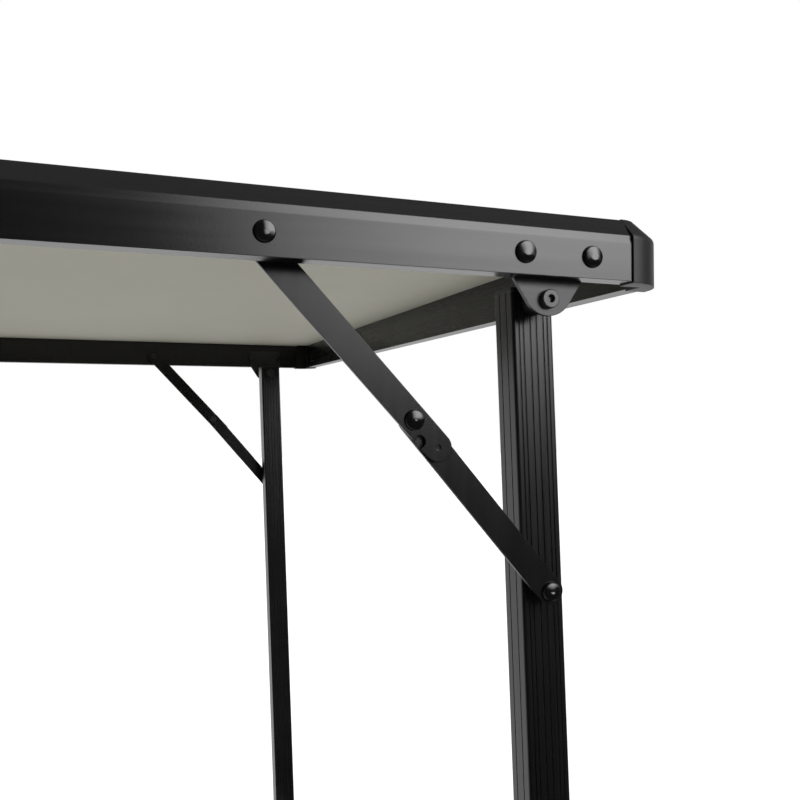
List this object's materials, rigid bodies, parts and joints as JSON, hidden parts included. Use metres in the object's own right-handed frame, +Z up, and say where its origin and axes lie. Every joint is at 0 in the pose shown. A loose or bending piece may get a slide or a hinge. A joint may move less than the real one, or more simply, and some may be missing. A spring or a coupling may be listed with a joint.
{
  "type": "folding table",
  "caption": "Rectangular folding table: thin panel in a hollow-profile frame, leg frames that fold flat under it, hinged flat-bar braces",
  "frame": {"origin": "on the floor, under the middle of the table", "axes": "+X along the long sides, +Y across the table, +Z up"},
  "size_m": [1.5032, 0.7172, 0.7008],
  "materials": {
    "frame_black": "satin black coated aluminium profile",
    "panel_laminate": "matt warm grey laminate",
    "moulded_black": "matt moulded plastic",
    "leg_black": "satin black coated ribbed aluminium",
    "rail_black": "satin black coated tube",
    "link_black": "satin black coated flat steel",
    "bracket_grey": "satin dark grey coated steel",
    "pin_grey": "dark blackened steel",
    "spacer_black": "matt black",
    "rivet_black": "semi-gloss black"
  },
  "bodies": {
    "tabletop": {"tabletop_panel": "panel_laminate", "frame_side_front": "frame_black", "frame_side_rear": "frame_black", "frame_end_right": "frame_black", "frame_end_left": "frame_black", "cross_rail_left": "rail_black", "cross_rail_centre": "rail_black", "cross_rail_right": "rail_black", "cross_rail_rivets": "rivet_black", "bracket_rivets": "rivet_black", "end_rivets": "rivet_black", "hinge_pins": "pin_grey", "brace_pivot_rivets": "rivet_black", "brace_pivot_spacers": "spacer_black", "corner_piece_front_right": "moulded_black", "corner_piece_rear_right": "moulded_black", "corner_piece_front_left": "moulded_black", "corner_piece_rear_left": "moulded_black", "hinge_bracket_front_right": "bracket_grey", "hinge_bracket_rear_right": "bracket_grey", "hinge_bracket_front_left": "bracket_grey", "hinge_bracket_rear_left": "bracket_grey"},
    "leg_frame_right": {"leg_front_right": "leg_black", "leg_rear_right": "leg_black", "foot_front_right": "moulded_black", "foot_rear_right": "moulded_black", "leg_caps_right": "moulded_black", "hinge_spacers_right": "spacer_black", "crossbar_right": "leg_black", "crossbar_screws_right": "rivet_black", "crossbar_washers_right": "spacer_black", "brace_foot_rivets_right": "rivet_black", "brace_foot_spacers_right": "spacer_black"},
    "leg_frame_left": {"leg_front_left": "leg_black", "leg_rear_left": "leg_black", "foot_front_left": "moulded_black", "foot_rear_left": "moulded_black", "leg_caps_left": "moulded_black", "hinge_spacers_left": "spacer_black", "crossbar_left": "leg_black", "crossbar_screws_left": "rivet_black", "crossbar_washers_left": "spacer_black", "brace_foot_rivets_left": "rivet_black", "brace_foot_spacers_left": "spacer_black"},
    "upper_brace_front_right": {"upper_link_front_right": "link_black", "elbow_rivet_front_right": "rivet_black"},
    "lower_brace_front_right": {"lower_link_front_right": "link_black", "lower_link_pins_front_right": "rivet_black"},
    "upper_brace_rear_right": {"upper_link_rear_right": "link_black", "elbow_rivet_rear_right": "rivet_black"},
    "lower_brace_rear_right": {"lower_link_rear_right": "link_black", "lower_link_pins_rear_right": "rivet_black"},
    "upper_brace_front_left": {"upper_link_front_left": "link_black", "elbow_rivet_front_left": "rivet_black"},
    "lower_brace_front_left": {"lower_link_front_left": "link_black", "lower_link_pins_front_left": "rivet_black"},
    "upper_brace_rear_left": {"upper_link_rear_left": "link_black", "elbow_rivet_rear_left": "rivet_black"},
    "lower_brace_rear_left": {"lower_link_rear_left": "link_black", "lower_link_pins_rear_left": "rivet_black"}
  },
  "joints": [
    {"name": "right_leg_fold", "type": "hinge", "parent": "tabletop", "child": "leg_frame_right", "pos_m": [0.687, 0, 0.6599], "axis": [0, 1, 0], "range_deg": [0, 92.1]},
    {"name": "left_leg_fold", "type": "hinge", "parent": "tabletop", "child": "leg_frame_left", "pos_m": [-0.687, 0, 0.6599], "axis": [0, -1, 0], "range_deg": [0, 92.1]},
    {"name": "upper_brace_swing_front_right", "type": "hinge", "parent": "tabletop", "child": "upper_brace_front_right", "pos_m": [0.5506, -0.339, 0.6792], "axis": [0, -1, 0], "range_deg": [0, 48.07]},
    {"name": "lower_brace_swing_front_right", "type": "hinge", "parent": "leg_frame_right", "child": "lower_brace_front_right", "pos_m": [0.69209, -0.3369, 0.52099], "axis": [0, 1, 0], "range_deg": [0, 27.36]},
    {"name": "upper_brace_swing_rear_right", "type": "hinge", "parent": "tabletop", "child": "upper_brace_rear_right", "pos_m": [0.5506, 0.339, 0.6792], "axis": [0, -1, 0], "range_deg": [0, 48.07]},
    {"name": "lower_brace_swing_rear_right", "type": "hinge", "parent": "leg_frame_right", "child": "lower_brace_rear_right", "pos_m": [0.69209, 0.3369, 0.52099], "axis": [0, 1, 0], "range_deg": [0, 27.36]},
    {"name": "upper_brace_swing_front_left", "type": "hinge", "parent": "tabletop", "child": "upper_brace_front_left", "pos_m": [-0.5506, -0.339, 0.6792], "axis": [0, 1, 0], "range_deg": [0, 48.07]},
    {"name": "lower_brace_swing_front_left", "type": "hinge", "parent": "leg_frame_left", "child": "lower_brace_front_left", "pos_m": [-0.69209, -0.3369, 0.52099], "axis": [0, -1, 0], "range_deg": [0, 27.36]},
    {"name": "upper_brace_swing_rear_left", "type": "hinge", "parent": "tabletop", "child": "upper_brace_rear_left", "pos_m": [-0.5506, 0.339, 0.6792], "axis": [0, 1, 0], "range_deg": [0, 48.07]},
    {"name": "lower_brace_swing_rear_left", "type": "hinge", "parent": "leg_frame_left", "child": "lower_brace_rear_left", "pos_m": [-0.69209, 0.3369, 0.52099], "axis": [0, -1, 0], "range_deg": [0, 27.36]}
  ],
  "couplings": [
    {"joint": "upper_brace_swing_front_right", "follows": "right_leg_fold", "ratio": 0.52187},
    {"joint": "lower_brace_swing_front_right", "follows": "right_leg_fold", "ratio": 0.29692},
    {"joint": "upper_brace_swing_rear_right", "follows": "right_leg_fold", "ratio": 0.52187},
    {"joint": "lower_brace_swing_rear_right", "follows": "right_leg_fold", "ratio": 0.29692},
    {"joint": "upper_brace_swing_front_left", "follows": "left_leg_fold", "ratio": 0.52187},
    {"joint": "lower_brace_swing_front_left", "follows": "left_leg_fold", "ratio": 0.29692},
    {"joint": "upper_brace_swing_rear_left", "follows": "left_leg_fold", "ratio": 0.52187},
    {"joint": "lower_brace_swing_rear_left", "follows": "left_leg_fold", "ratio": 0.29692}
  ]
}
